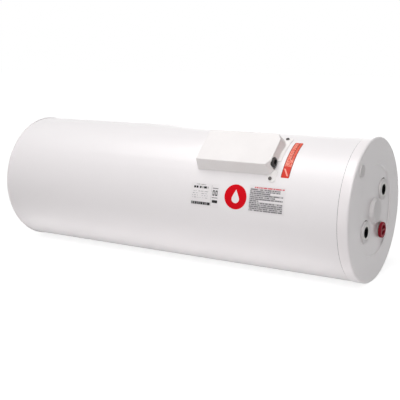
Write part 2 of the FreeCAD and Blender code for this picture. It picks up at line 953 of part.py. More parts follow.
def element_hairpin():
    top = tank_inner - element_stem_inside
    x, half = element_x, element_leg_offset
    low = top - element_reach
    bend = low + half
    edges = [
        Part.LineSegment(Vector(x, -half, top), Vector(x, -half, bend)).toShape(),
        Part.Arc(Vector(x, -half, bend), Vector(x, 0, low), Vector(x, half, bend)).toShape(),
        Part.LineSegment(Vector(x, half, bend), Vector(x, half, top)).toShape(),
    ]
    section = Part.Wire(Part.makeCircle(element_leg_radius, Vector(x, -half, top)))
    return facing(Part.Wire(edges).makePipeShell([section], True, False))


def element_leg_places():
    return [(element_x, -element_leg_offset), (element_x, element_leg_offset)]


def element_insulators():
    return Part.makeCompound([
        facing(upright(insulator_radius, element_face, insulator_top, x, y))
        for x, y in element_leg_places()
    ])


def element_terminals():
    return Part.makeCompound([
        facing(screw_terminal(x, y, insulator_top, depth=0.0)) for x, y in element_leg_places()
    ])


# Controls

def control_terminals():
    """Name to (x, y) of the screws on the thermostat and the cut-out."""
    side = control_half_width - terminal_inset
    return {
        "load": (control_start + terminal_inset, -side),
        "link_in": (thermostat_end - terminal_inset, side),
        "link_out": (cutout_start + terminal_inset, side),
        "line": (cutout_end - terminal_inset, -side + line_terminal_shift),
    }


def dial_place():
    return (control_start + thermostat_end) / 2, dial_offset


def button_place():
    return (cutout_start + cutout_end) / 2, dial_offset


def control_body(start, end, terminals):
    half = control_half_width
    body = box((start, end), (-half, half), (control_base, control_top))
    low = control_top - terminal_screw_depth - fit_gap
    for name in terminals:
        x, y = control_terminals()[name]
        body = body.cut(upright(terminal_screw_radius + seat_gap, low, control_top, x, y))
    return body


def thermostat_body():
    x, y = dial_place()
    seat = upright(dial_radius + dial_seat_play, control_top - dial_seat, control_top, x, y)
    hole_low = control_top - dial_stem_length - past
    stem_hole = upright(dial_stem_radius + running_gap, hole_low, control_top, x, y)
    body = control_body(control_start, thermostat_end, ["load", "link_in"])
    return facing(body.cut(seat.fuse(stem_hole)))


def cutout_body():
    x, y = button_place()
    hole_low = control_top - button_depth - button_travel - fit_gap
    hole = upright(button_radius + running_gap, hole_low, control_top, x, y)
    return facing(control_body(cutout_start, cutout_end, ["link_out", "line"]).cut(hole))


def thermostat_dial():
    x, y = dial_place()
    low = control_top - dial_seat + fit_gap
    top = low + dial_height
    knob = upright(dial_radius, low, top, x, y)
    for i in range(dial_flutes):
        turn = 2 * math.pi * i / dial_flutes
        flute_x = x + dial_radius * math.cos(turn)
        flute_y = y + dial_radius * math.sin(turn)
        knob = knob.cut(upright(dial_flute_radius, low, top, flute_x, flute_y))
    reach, half = dial_slot_length / 2, dial_slot_width / 2
    slot = box((x - reach, x + reach), (y - half, y + half), (top - dial_slot_depth, top))
    stem = upright(dial_stem_radius, control_top - dial_stem_length, low, x, y)
    return facing(knob.cut(slot).fuse(stem).removeSplitter())


def reset_button():
    x, y = button_place()
    top = control_top + button_rise
    button = upright(button_radius, control_top - button_depth, top, x, y)
    return facing(round_top(button, top, button_edge_radius))


def link_bar():
    """The copper bar between the cut-out and the thermostat."""
    ends = control_terminals()
    (x0, y), (x1, _) = ends["link_in"], ends["link_out"]
    half, low = link_width / 2, control_top + seat_gap
    top = low + link_thickness
    bar = box((x0 - link_overhang, x1 + link_overhang), (y - half, y + half), (low, top))
    for x in (x0, x1):
        bar = bar.cut(upright(terminal_screw_radius + seat_gap, low, top, x, y))
    return facing(bar)


def control_screws():
    screws = []
    for name, (x, y) in control_terminals().items():
        grip = link_thickness + 2 * seat_gap if name.startswith("link") else wire_stack
        screws.append(facing(screw_terminal(x, y, control_top, grip)))
    return Part.makeCompound(screws)


def control_clip():
    """The spring clip, welded on the tank, that holds the controls against it."""
    low = tank_radius + seat_gap
    half = control_half_width + clip_margin
    saddle = ring_x(low + clip_wall, low, element_x, cutout_end)
    saddle = saddle.common(box((element_x, cutout_end), (-half, half), (0, jacket_radius)))
    seat = box(
        (control_start + clip_seat_margin, cutout_end - clip_seat_margin),
        (-clip_seat_half_width, clip_seat_half_width), (0, jacket_radius),
    )
    clip = saddle.cut(seat).cut(upright(spud_radius + fit_gap, 0, jacket_radius, element_x))
    middle = (control_start + cutout_end) / 2
    arm_x = (middle - clip_arm_width / 2, middle + clip_arm_width / 2)
    inner = control_half_width + fit_gap
    lip_low = control_top + seat_gap
    lip_high = lip_low + clip_wall
    for side in (-1, 1):
        arm_y = sorted((side * inner, side * (inner + clip_wall)))
        lip_y = sorted((side * (inner - clip_lip), side * inner))
        clip = clip.fuse(box(arm_x, arm_y, (tank_inner, lip_high)))
        clip = clip.fuse(box(arm_x, lip_y, (lip_low, lip_high)))
    return facing(clip.cut(along_x(low, 0, end_x)).removeSplitter())


# Wires

def wire(points):
    """A wire whose bends shrink only where a run is too short for them."""
    radii = [0.0]
    for before, here, after in zip(points, points[1:], points[2:]):
        half = (before - here).getAngle(after - here) / 2
        run = min((before - here).Length, (after - here).Length)
        radii.append(min(wire_bend, wire_bend_share * run * math.tan(half)))
    radii.append(0.0)
    return facing(swept(points, radii, wire_radius))


def clamp_point(place, seat, way):
    """Where a wire ends under a terminal's head, coming from the way (x, y)."""
    x, y = place
    reach = terminal_screw_radius + seat_gap
    return Vector(x + way[0] * reach, y + way[1] * reach, seat + wire_radius + seat_gap)


def pole_wire_start(pole):
    x, y = block_poles()[pole]
    return Vector(block_end - block_wire_inset, y, block_bore_z)


def line_wire():
    start = pole_wire_start(1)
    end = clamp_point(control_terminals()["line"], control_top, (1, 0))
    return wire([
        start,
        Vector(window_end, start.y, start.z),
        Vector(end.x + 2 * wire_bend, end.y, end.z),
        end,
    ])


def neutral_wire():
    start = pole_wire_start(2)
    end = clamp_point(element_leg_places()[1], insulator_top, (1, 0))
    y, z = neutral_route_offset, control_top + 2 * wire_radius
    return wire([
        start,
        Vector(window_end, start.y, start.z),
        Vector(cutout_end - wire_bend, y, z),
        Vector(control_start, y, z),
        Vector(end.x + 3 * wire_bend, end.y, end.z),
        end,
    ])


def load_wire():
    start = clamp_point(control_terminals()["load"], control_top, (-1, 0))
    end = clamp_point(element_leg_places()[0], insulator_top, (1, 0))
    return wire([
        start,
        Vector(start.x - 2 * wire_bend, start.y, start.z),
        Vector(end.x + 2 * wire_bend, end.y, end.z),
        end,
    ])


def earth_wire():
    start = pole_wire_start(0)
    end = clamp_point(earth_place(), bracket_top + seat_gap, (0, 1))
    return wire([
        start,
        Vector(end.x, start.y, start.z),
        Vector(end.x, end.y + wire_bend, end.z),
        end,
    ])


# Labels

def label_sheet(start, length):
    """A band of label film round the whole jacket."""
    inner = jacket_radius + seat_gap
    return ring_x(inner + label_thickness, inner, start - past, start + length + past)


def label(start, length, rise, width):
    """A label whose width and rise are measured round the jacket."""
    reach = jacket_radius * math.sin(width / 2 / jacket_radius)
    outline = rounded_block((start, start + length), (-reach, reach), label_corner, 0, cap_radius)
    middle = math.degrees((rise + width / 2) / jacket_radius)
    return facing(label_sheet(start, length).common(outline), middle)


def round_badge():
    outline = upright(badge_radius, 0, cap_radius, badge_start + badge_radius)
    middle = math.degrees((badge_rise + badge_radius) / jacket_radius)
    return facing(label_sheet(badge_start, 2 * badge_radius).common(outline), middle)


parts = {
    "jacket": jacket(),
    "blind_end_cap": blind_end_cap(),
    "pipe_end_cap": pipe_end_cap(),
    "foam_fill_plug": foam_fill_plug(),
    "foam_insulation": foam_insulation(),
    "tank_shell": tank_shell(),
    "blind_tank_head": tank_head(-1),
    "pipe_tank_head": pipe_tank_head(),
    "hot_outlet_socket": pipe_socket(hot_place, socket_end),
    "cold_inlet_socket": pipe_socket(cold_place, socket_end),
    "relief_valve_socket": pipe_socket(relief_place, relief_end),
    "hot_socket_ring": socket_ring(hot_place),
    "cold_socket_ring": socket_ring(cold_place),
    "hot_pickup_tube": inner_tube(hot_place, 1),
    "cold_inlet_tube": inner_tube(cold_place, -1),
    "anode_boss": anode_boss(),
    "anode_gasket": anode_gasket(),
    "anode_plug": anode_plug(),
    "anode_rod": anode_rod(),
    "anode_core": anode_core(),
    "anode_access_cap": anode_access_cap(),
    "transport_plug": transport_plug(),
    "plug_gasket": plug_gasket(),
    "terminal_cover": terminal_cover(),
    "cover_screws": cover_screws(),
    "cavity_liner": cavity_liner(),
    "gland_bracket": gland_bracket(),
    "bracket_rivets": bracket_rivets(),
    "cable_gland": cable_gland(),
    "gland_locknut": gland_locknut(),
    "earth_screw": earth_screw(),
    "terminal_block": terminal_block(),
    "block_screws": block_screws(),
    "element_spud": element_spud(),
    "element_seal": element_seal(),
    "element_plug": element_plug(),
    "element_hairpin": element_hairpin(),
    "element_insulators": element_insulators(),
    "element_terminals": element_terminals(),
    "control_clip": control_clip(),
    "thermostat_body": thermostat_body(),
    "thermostat_dial": thermostat_dial(),
    "cutout_body": cutout_body(),
    "reset_button": reset_button(),
    "link_bar": link_bar(),
    "control_screws": control_screws(),
    "line_wire": line_wire(),
    "neutral_wire": neutral_wire(),
    "load_wire": load_wire(),
    "earth_wire": earth_wire(),
    "rating_label": label(
        rating_label_start, rating_label_length, rating_label_rise, rating_label_width
    ),
    "panel_label": label(
        panel_label_start, panel_label_length, panel_label_rise, panel_label_width
    ),
    "strip_label": label(
        strip_label_start, strip_label_length, strip_label_rise, strip_label_width
    ),
    "round_badge": round_badge(),
}

os.makedirs("parts", exist_ok=True)
for name, shape in parts.items():
    shape.translate(Vector(0, 0, jacket_radius))
    shape.exportStep(f"parts/{name}.step")
    solids = len(shape.Solids)
    print(f"{name}: {solids} solid(s), {shape.Volume / 1000:.1f} cm3, valid {shape.isValid()}")
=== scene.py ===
import json
import math

import bmesh
import bpy
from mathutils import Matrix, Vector


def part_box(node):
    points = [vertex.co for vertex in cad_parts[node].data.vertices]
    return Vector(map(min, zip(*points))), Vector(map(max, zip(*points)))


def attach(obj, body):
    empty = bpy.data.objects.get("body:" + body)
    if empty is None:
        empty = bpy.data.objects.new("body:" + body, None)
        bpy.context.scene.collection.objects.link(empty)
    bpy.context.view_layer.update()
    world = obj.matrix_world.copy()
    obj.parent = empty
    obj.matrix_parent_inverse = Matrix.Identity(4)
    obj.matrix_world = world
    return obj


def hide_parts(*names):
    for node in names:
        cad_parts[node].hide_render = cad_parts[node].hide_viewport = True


# A horizontal storage water heater: its looks, in metres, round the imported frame.
# +X runs to the pipe end, -Y is the front with the labels and +Z is up.

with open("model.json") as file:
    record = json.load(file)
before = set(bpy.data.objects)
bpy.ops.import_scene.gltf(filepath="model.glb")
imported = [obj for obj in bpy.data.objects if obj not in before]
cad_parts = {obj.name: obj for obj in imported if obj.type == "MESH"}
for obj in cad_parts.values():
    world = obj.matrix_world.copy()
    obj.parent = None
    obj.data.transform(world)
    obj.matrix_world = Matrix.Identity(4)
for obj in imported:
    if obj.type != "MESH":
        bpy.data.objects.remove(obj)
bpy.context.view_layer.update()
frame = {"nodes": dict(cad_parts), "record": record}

MM = 0.001
jacket_radius = 180 * MM
# Where the pipe end cap starts, and the width of the grey painted shadow line along its edge
body_length, seam_from_end, seam_shadow_width = 1068 * MM, 26 * MM, 3 * MM

# Labels in millimetres: where each starts along X, and its low edge round the jacket
rating_start, rating_rise = 111.0, 0.0
panel_start, panel_rise = 276.0, 0.0
strip_start, strip_rise = 352.0, 91.5
strip_length, strip_width = 22.0, 112.0
badge_middle_x, badge_middle_rise, badge_radius = 240.5, 33.5, 32.0

# Pipe sockets with a three-quarter inch pipe thread, and how finely its ridges are cut
thread_minor, thread_major, thread_pitch = 12.06 * MM, 13.2 * MM, 1.814 * MM
thread_depth, mouth_chamfer = 22 * MM, 2 * MM
socket_radius, socket_edge, tail_bore = 17 * MM, 0.5 * MM, 9.5 * MM
steps_per_pitch, steps_round = 8, 72
turns = [2 * math.pi * i / steps_round for i in range(steps_round)]
sharp_angle = math.radians(35)

# The open sockets in millimetres: where they sit in Y and Z, their lining, and how far round them the
# foam is painted dark as painted shade
socket_places = ((57.5, 224.1), (-57.5, 135.9))
lining_radius, painted_shade_radius = 14.2, 30.0

# Camera, fitted to the photograph
camera_place = (1.16336, -1.82979, 0.56401)
camera_aim = (-0.517786, 0.834987, -0.186264)
camera_lens, camera_sensor = 70.69, 36.0
camera_reach = 100

# Stage. The floor that the camera sees takes a share of the light and glows besides. Its
# glow grows to plain white between one and two shadow reaches from the middle
plain_white = (1.0, 1.0, 1.0, 1.0)
room_tint, room_strength = (1.0, 0.985, 0.99, 1.0), 0.04
floor_size = 30
floor_share, floor_glow, shadow_reach = 0.4, 0.84, 1.3
under_light_offset, under_light_height = 0.21, 0.004

# The clear coat of painted, enamelled and glazed pieces
coat_roughness = 0.25

# Print on the labels: marks in a millimetre of a row, and the pattern's step between rows
mark_rate, row_step = 0.42, 3.7


# Colours and node helpers

def tone(red, green, blue):
    """A colour written as it looks on screen, from 0 to 255, as linear values."""
    channels = []
    for value in (red, green, blue):
        share = value / 255
        linear = share / 12.92 if share <= 0.04045 else ((share + 0.055) / 1.055) ** 2.4
        channels.append(linear)
    return (*channels, 1.0)


class Field:
    """A number that varies over a surface, built from math nodes."""

    def __init__(self, tree, socket):
        self.tree = tree
        self.socket = socket

    def math(self, operation, other=None):
        node = self.tree.nodes.new("ShaderNodeMath")
        node.operation = operation
        self.tree.links.new(self.socket, node.inputs[0])
        if isinstance(other, Field):
            self.tree.links.new(other.socket, node.inputs[1])
        elif other is not None:
            node.inputs[1].default_value = other
        return Field(self.tree, node.outputs[0])

    def __add__(self, other):
        return self.math("ADD", other)

    def __sub__(self, other):
        return self.math("SUBTRACT", other)

    def __mul__(self, other):
        return self.math("MULTIPLY", other)

    def above(self, other):
        return self.math("GREATER_THAN", other)

    def below(self, other):
        return self.math("LESS_THAN", other)

    def within(self, low, high):
        return self.above(low) * self.below(high)

    def either(self, other):
        """The larger of two fields, so 1 where one of two shapes is."""
        return self.math("MAXIMUM", other)

    def size(self):
        """The field without its sign."""
        return self.math("ABSOLUTE")


class Paint:
    """One procedural material on a Principled shader."""

    def __init__(self, name, roughness, metallic=0.0, coat=0.0, gloss=0.5):
        self.material = bpy.data.materials.new(name)
        self.material.use_nodes = True
        self.tree = self.material.node_tree
        self.tree.nodes.clear()
        output = self.tree.nodes.new("ShaderNodeOutputMaterial")
        self.shader = self.tree.nodes.new("ShaderNodeBsdfPrincipled")
        self.shader.inputs["Roughness"].default_value = roughness
        self.shader.inputs["Metallic"].default_value = metallic
        self.shader.inputs["Coat Weight"].default_value = coat
        self.shader.inputs["Coat Roughness"].default_value = coat_roughness
        self.shader.inputs["Specular IOR Level"].default_value = gloss
        self.tree.links.new(self.shader.outputs[0], output.inputs[0])
        self.places = self.tree.nodes.new("ShaderNodeTexCoord").outputs["Object"]
        self.base = None
        self.normal = None

    def axis(self, letter):
        """The X, Y or Z of the row frame, in millimetres."""
        split = self.tree.nodes.new("ShaderNodeSeparateXYZ")
        self.tree.links.new(self.places, split.inputs[0])
        return Field(self.tree, split.outputs[letter]) * (1 / MM)

    def around(self):
        """Millimetres round the jacket from its front line, counted upwards."""
        front = self.axis("Y") * -1.0
        up = self.axis("Z") - jacket_radius / MM
        return up.math("ARCTAN2", front) * (jacket_radius / MM)

    def near_sockets(self, radius):
        """1 within that many millimetres of the axis of an open pipe socket."""
        discs = []
        for place_y, place_z in socket_places:
            y = self.axis("Y") - place_y
            z = self.axis("Z") - place_z
            discs.append((y * y + z * z).below(radius**2))
        return discs[0].either(discs[1])

    def noise(self, scale, detail=3.0, stretch=(1, 1, 1)):
        """Soft noise from 0 to 1, whose grains are about 1 / scale metres."""
        mapping = self.tree.nodes.new("ShaderNodeMapping")
        mapping.inputs["Scale"].default_value = stretch
        self.tree.links.new(self.places, mapping.inputs["Vector"])
        texture = self.tree.nodes.new("ShaderNodeTexNoise")
        texture.inputs["Scale"].default_value = scale
        texture.inputs["Detail"].default_value = detail
        self.tree.links.new(mapping.outputs[0], texture.inputs["Vector"])
        return Field(self.tree, texture.outputs["Fac"])

    def cells(self, scale):
        """Rounded cells, for foam and cast surfaces."""
        texture = self.tree.nodes.new("ShaderNodeTexVoronoi")
        texture.inputs["Scale"].default_value = scale
        self.tree.links.new(self.places, texture.inputs["Vector"])
        return Field(self.tree, texture.outputs["Distance"])

    def random_marks(self, across, row, share):
        """Dashes of uneven length along a row, which cover that share of it."""
        joined = self.tree.nodes.new("ShaderNodeCombineXYZ")
        self.tree.links.new(across.socket, joined.inputs[0])
        self.tree.links.new(row.socket, joined.inputs[1])
        texture = self.tree.nodes.new("ShaderNodeTexNoise")
        texture.inputs["Scale"].default_value = 1.0
        texture.inputs["Detail"].default_value = 0.0
        self.tree.links.new(joined.outputs[0], texture.inputs["Vector"])
        return Field(self.tree, texture.outputs["Fac"]).above(1 - share)

    def blend(self, share, low, high):
        """A colour between two others. Each is a colour or an earlier blend."""
        mix = self.tree.nodes.new("ShaderNodeMix")
        mix.data_type = "RGBA"
        self.tree.links.new(share.socket, mix.inputs[0])
        # Inputs 6 and 7 and output 2 are the node's colours. The others carry plain numbers
        for socket, colour in ((mix.inputs[6], low), (mix.inputs[7], high)):
            if isinstance(colour, tuple):
                socket.default_value = colour
            else:
                self.tree.links.new(colour, socket)
        return mix.outputs[2]

    def colour(self, blended):
        """Paints with a blend, which a later blend can build on as the paint's base."""
        self.base = blended
        self.tree.links.new(blended, self.shader.inputs["Base Color"])

    def roughness(self, share, low, high):
        """Roughness that follows a field from low to high."""
        span = self.tree.nodes.new("ShaderNodeMapRange")
        span.inputs["To Min"].default_value = low
        span.inputs["To Max"].default_value = high
        self.tree.links.new(share.socket, span.inputs["Value"])
        self.tree.links.new(span.outputs[0], self.shader.inputs["Roughness"])

    def bump(self, height, depth, strength=1.0):
        """Raises the surface by up to depth metres where the height is 1."""
        node = self.tree.nodes.new("ShaderNodeBump")
        node.inputs["Distance"].default_value = depth
        node.inputs["Strength"].default_value = strength
        self.tree.links.new(height.socket, node.inputs["Height"])
        if self.normal:
            self.tree.links.new(self.normal, node.inputs["Normal"])
        self.normal = node.outputs[0]
        self.tree.links.new(self.normal, self.shader.inputs["Normal"])


def shade(colour, factor):
    """The same colour, darker or lighter."""
    return (*(value * factor for value in colour[:3]), 1.0)


# Families of finish

def powder_coat(name, colour, roughness, coat, gloss):
    """White powder coat with a fine orange peel."""
    paint = Paint(name, roughness, coat=coat, gloss=gloss)
    drift = paint.noise(5, 2)
    paint.colour(paint.blend(drift, shade(colour, 0.97), shade(colour, 1.01)))
    paint.roughness(paint.noise(40), roughness - 0.05, roughness + 0.07)
    paint.bump(paint.noise(650, 2), 0.00003, 0.35)
    return paint


def moulded(name, colour, roughness, grain=1500, gloss=0.5):
    """Moulded plastic with the fine grain of its tool."""
    paint = Paint(name, roughness, gloss=gloss)
    paint.colour(paint.blend(paint.noise(18, 4), shade(colour, 0.94), shade(colour, 1.03)))
    paint.roughness(paint.noise(60), roughness - 0.08, roughness + 0.08)
    paint.bump(paint.noise(grain, 2), 0.00004, 0.4)
    return paint


def worked_metal(name, roughness, stretch, grain):
    """Metal without a colour yet, with its tool marks drawn out along one way."""
    paint = Paint(name, roughness, metallic=1.0)
    marks = paint.noise(grain, 4, stretch)
    paint.roughness(marks, roughness - 0.1, roughness + 0.14)
    paint.bump(marks, 0.00002, 0.5)
    return paint


def bare_metal(name, colour, roughness, stretch=(1, 1, 1), grain=400):
    """Machined metal of one colour, with faint stains."""
    paint = worked_metal(name, roughness, stretch, grain)
    paint.colour(paint.blend(paint.noise(30, 3), shade(colour, 0.82), shade(colour, 1.05)))
    return paint


def soft_rubber(name, colour):
    """Matt rubber with a little dust in its grain."""
    paint = Paint(name, 0.75)
    dust = paint.noise(90, 4)
    paint.colour(paint.blend(dust, colour, shade(colour, 1.9)))
    paint.roughness(dust, 0.65, 0.85)
    paint.bump(paint.noise(2200, 2), 0.00005, 0.5)
    return paint


def plain_skin(name):
    """The smooth skin of a wire, without a colour yet."""
    paint = Paint(name, 0.38)
    paint.roughness(paint.noise(70), 0.3, 0.46)
    paint.bump(paint.noise(500, 2), 0.00003, 0.3)
    return paint


def wire_skin(name, colour):
    """The insulation of a wire in one colour."""
    paint = plain_skin(name)
    paint.colour(paint.blend(paint.noise(25, 3), shade(colour, 0.85), shade(colour, 1.1)))
    return paint


# Casing

def casing_white():
    """The rolled jacket: slight waves in the sheet, and a grey painted shadow line where the pipe end
    cap starts.
    """
    paint = powder_coat("casing_white", tone(243, 239, 240), 0.46, coat=0.5, gloss=0.5)
    paint.bump(paint.noise(3.2, 1, (0.6, 1, 1)), 0.0009, 0.12)
    seam_x = body_length / 2 - seam_from_end
    # Painted shadow: a grey line on the jacket along the edge of the pipe end cap's skirt
    seam_shadow = (paint.axis("X") - seam_x / MM).size().below(seam_shadow_width / MM / 2)
    paint.colour(paint.blend(seam_shadow, paint.base, tone(150, 146, 148)))
    return paint


def cap_white():
    return powder_coat("cap_white", tone(245, 240, 241), 0.3, coat=0.4, gloss=0.6)


def plug_white():
    return moulded("plug_white", tone(226, 222, 222), 0.45)


def cover_plastic():
    return moulded("cover_plastic", tone(247, 243, 242), 0.5, grain=1100, gloss=0.2)


# Inside

def foam():
    """Cream foam, painted almost black round the two open sockets as painted shade for the gaps round
    their collars.
    """
    paint = Paint("foam", 0.9)
    cells = paint.cells(420)
    bare = paint.blend(paint.noise(60, 4), tone(222, 202, 150), tone(243, 230, 190))
    # Painted shade: near the two open sockets the foam is painted almost black, for the shadowed gaps
    # round their collars
    paint.colour(paint.blend(paint.near_sockets(painted_shade_radius), bare, tone(38, 35, 35)))
    paint.bump(cells, 0.0012, 0.8)
    return paint


def tank_steel():
    """Steel under dark blue enamel with pale flecks."""
    paint = Paint("tank_steel", 0.3, coat=0.4)
    flecks = paint.noise(260, 4)
    paint.colour(paint.blend(flecks, tone(38, 44, 60), tone(70, 78, 96)))
    paint.roughness(flecks, 0.24, 0.4)
    paint.bump(paint.noise(700, 3), 0.00005, 0.5)
    return paint


def socket_steel():
    """Plated socket steel, with a black glass lining in the two open bores."""
    paint = worked_metal("socket_steel", 0.34, (1, 8, 8), 240)
    lining = paint.near_sockets(lining_radius)
    plated = paint.blend(paint.noise(30, 3), tone(188, 186, 182), tone(210, 208, 204))
    paint.colour(paint.blend(lining, plated, tone(9, 9, 10)))
    return paint


def collar_plastic():
    return moulded("collar_plastic", tone(232, 228, 228), 0.4)


def plug_red():
    return moulded("plug_red", tone(150, 12, 34), 0.5, grain=900, gloss=0.2)


def seal_rubber():
    return soft_rubber("seal_rubber", tone(26, 26, 27))


def tube_plastic():
    return moulded("tube_plastic", tone(222, 216, 196), 0.4)


def brass():
    return bare_metal("brass", tone(196, 158, 84), 0.3, (10, 1, 1), 260)


def magnesium():
    """The anode: bare metal with a cast surface."""
    paint = bare_metal("magnesium", tone(176, 178, 180), 0.5)
    paint.bump(paint.cells(500), 0.0002, 0.4)
    return paint


def zinc_steel():
    """Zinc-coated sheet with the spangle of its coating."""
    paint = worked_metal("zinc_steel", 0.36, (1, 12, 1), 300)
    spangle = paint.cells(160)
    paint.colour(paint.blend(spangle, tone(166, 168, 172), tone(206, 206, 204)))
    return paint


# Fasteners and electrics

def screw_dark():
    return bare_metal("screw_dark", tone(92, 88, 86), 0.38, grain=500)


def gland_black():
    return moulded("gland_black", tone(22, 22, 23), 0.42, grain=1300)


def copper():
    return bare_metal("copper", tone(196, 120, 84), 0.32, (1, 1, 12), 260)


def insulator():
    """Glazed ceramic."""
    paint = Paint("insulator", 0.28, coat=0.5)
    paint.colour(paint.blend(paint.noise(300, 3), tone(222, 216, 200), tone(240, 236, 224)))
    paint.roughness(paint.noise(120), 0.2, 0.36)
    paint.bump(paint.noise(1800, 2), 0.00003, 0.3)
    return paint


def control_black():
    return moulded("control_black", tone(34, 33, 34), 0.5, grain=1600)


def dial_grey():
    return moulded("dial_grey", tone(196, 195, 190), 0.4)


def button_red():
    return moulded("button_red", tone(196, 28, 26), 0.3, grain=900)


def block_cream():
    return moulded("block_cream", tone(228, 220, 196), 0.45)


def wire_brown():
    return wire_skin("wire_brown", tone(104, 58, 30))


def wire_blue():
    return wire_skin("wire_blue", tone(38, 84, 168))


def wire_black():
    return wire_skin("wire_black", tone(30, 30, 31))


def wire_green():
    """Green insulation with the yellow stripe of an earth wire."""
    paint = plain_skin("wire_green")
    stripe = (paint.axis("Y") + paint.axis("Z")).math("PINGPONG", 2.2).below(0.8)
    paint.colour(paint.blend(stripe, tone(60, 140, 52), tone(226, 206, 60)))
    return paint


# Printed labels. U runs along the jacket and V up it, in millimetres from a label's corner

def printed_film(name, roughness=0.45, gloss=0.3):
    """A smooth printed sticker, without its print yet."""
    paint = Paint(name, roughness, gloss=gloss)
    paint.roughness(paint.noise(50), roughness - 0.05, roughness + 0.08)
    paint.bump(paint.noise(900, 2), 0.00002, 0.25)
    return paint


def patch(u, v, left, right, low, high):
    """A filled rectangle."""
    return u.within(left, right) * v.within(low, high)


def open_box(u, v, left, right, low, high):
    """A rectangle with thick sides and thicker ends, open in the middle."""
    side, end = 2, 3
    hole = patch(u, v, left + side, right - side, low + end, high - end)
    return patch(u, v, left, right, low, high) - hole


def rows_of_marks(paint, u, v, area, pitch, height, share):
    """Rows of plain dashes that fill an area: left, right, low, high."""
    row = (v * (1 / pitch)).math("FLOOR")
    line = (v - row * pitch).below(height)
    marks = paint.random_marks(u * mark_rate, row * row_step, share)
    return patch(u, v, *area) * line * marks


def label_white():
    """The rating label: a bold bar, a small table, a code strip and a side column."""
    paint = printed_film("label_white")
    u = paint.axis("X") - rating_start
    v = paint.around() - rating_rise
    table = rows_of_marks(paint, u, v, (5, 52, 19, 42), 5.4, 1.3, 0.5)
    heading = rows_of_marks(paint, u, v, (15, 42, 54, 56.4), 2.4, 1.3, 0.6)
    title = patch(u, v, 8, 50, 46.0, 51.5) * paint.random_marks(u * mark_rate, v * 0.01, 0.6)
    code = patch(u, v, 2.5, 58, 5, 12) * paint.random_marks(u * 0.8, v * 0.0, 0.6)
    column = patch(u, v, 63, 79, 48, 50).either(patch(u, v, 63, 79, 24.5, 26.2))
    boxes = open_box(u, v, 64, 70, 30.5, 44).either(open_box(u, v, 72, 78, 30.5, 44))
    block = patch(u, v, 63.5, 79, 12.5, 19.5)
    rule = patch(u, v, 60, 60.5, 4, 56)
    ink = paint.blend(table.either(rule), tone(238, 234, 235), tone(160, 157, 159))
    ink = paint.blend(heading.either(column), ink, tone(120, 117, 118))
    bold = title.either(code).either(boxes).either(block)
    paint.colour(paint.blend(bold, ink, tone(34, 32, 33)))
    return paint


def label_grey():
    """The panel of small print: a pink heading over two blocks of close rows."""
    paint = printed_film("label_grey")
    u = paint.axis("X") - panel_start
    v = paint.around() - panel_rise
    rows = rows_of_marks(paint, u, v, (3, 92, 4, 60), 4.6, 2.7, 0.6)
    gap = patch(u, v, 58, 95, 45.5, 50.5).either(patch(u, v, 28, 95, 27, 31.5))
    gap = gap.either(patch(u, v, 72, 95, 36, 41)).either(patch(u, v, 84, 95, 50, 60))
    filled = gap * -1.0 + 1.0
    heading = rows_of_marks(paint, u, v, (14, 94, 59.8, 63.8), 4.6, 3.4, 0.6)
    wash = paint.blend(patch(u, v, 3, 93, 4, 59) * filled, tone(236, 232, 233), tone(204, 200, 202))
    ink = paint.blend(rows * filled, wash, tone(122, 119, 121))
    paint.colour(paint.blend(heading, ink, tone(216, 110, 116)))
    return paint


def label_red():
    """The upright red strip: fine pale rows over a plain red block with a slanted mark."""
    paint = printed_film("label_red")
    u = paint.axis("X") - strip_start
    v = paint.around() - strip_rise
    pitch = 3.4
    block_top, band_left, band_foot = strip_width * 0.27, strip_length * 0.58, strip_width * 0.45
    row = (u * (1 / pitch)).math("FLOOR")
    line = (u - row * pitch).below(2.2)
    rows = line * paint.random_marks(v * 0.3, row * 3.1, 0.6)
    upper = v.above(block_top)
    band = u.above(band_left) * v.above(band_foot)
    text = rows * upper * patch(u, v, 2, 20, 30, 108) * (band * -0.8 + 1.0)
    slant = (u + v * 0.6 - 19.5).size().below(2.0) * v.within(5, 24)
    edge = (u - strip_length / 2).size().above(strip_length / 2 - 1.6)
    fold = (u - band_left).size().below(0.9) * v.above(band_foot)
    base = paint.blend(upper, tone(214, 44, 24), tone(222, 78, 56))
    ink = paint.blend(text, base, tone(238, 156, 138))
    ink = paint.blend(slant, ink, tone(246, 170, 158))
    paint.colour(paint.blend(edge.either(fold), ink, tone(136, 44, 34)))
    return paint


def badge_red():
    """The round sticker: red with a white rim and a plain white drop."""
    paint = printed_film("badge_red", 0.5, 0.15)
    u = paint.axis("X") - badge_middle_x
    v = paint.around() - badge_middle_rise
    reach = (u * u + v * v).math("SQRT")
    rim = reach.above(badge_radius - 1.3)
    bulb_low, bulb_radius, tip = -5.0, 10.5, 18.5
    bulb = (u * u + (v - bulb_low) * (v - bulb_low)).below(bulb_radius**2)
    height = tip - bulb_low
    touch_v = bulb_low + bulb_radius**2 / height
    touch_u = bulb_radius * math.sqrt(1 - (bulb_radius / height) ** 2)
    cone = (u.size() + (v - tip) * (touch_u / (tip - touch_v))).below(0.0) * v.above(touch_v)
    drop = bulb.either(cone)
    base = paint.blend(drop, tone(218, 0, 22), tone(246, 240, 241))
    paint.colour(paint.blend(rim, base, tone(240, 226, 228)))
    return paint


finish_makers = (
    casing_white, cap_white, plug_white, cover_plastic, foam, tank_steel, socket_steel,
    collar_plastic, plug_red, seal_rubber, tube_plastic, brass, magnesium, zinc_steel,
    screw_dark, gland_black, copper, insulator, control_black, dial_grey, button_red,
    block_cream, wire_brown, wire_blue, wire_black, wire_green, label_white, label_grey,
    label_red, badge_red,
)
finishes = {make.__name__: make().material for make in finish_makers}


def dress_nodes():
    """Gives every CAD node the finish of its slot."""
    for part in frame["record"]["subparts"]:
        node = frame["nodes"][part["node"]]
        for slot in node.material_slots:
            slot.material = finishes[part["material_slot"]]


# Detail pieces

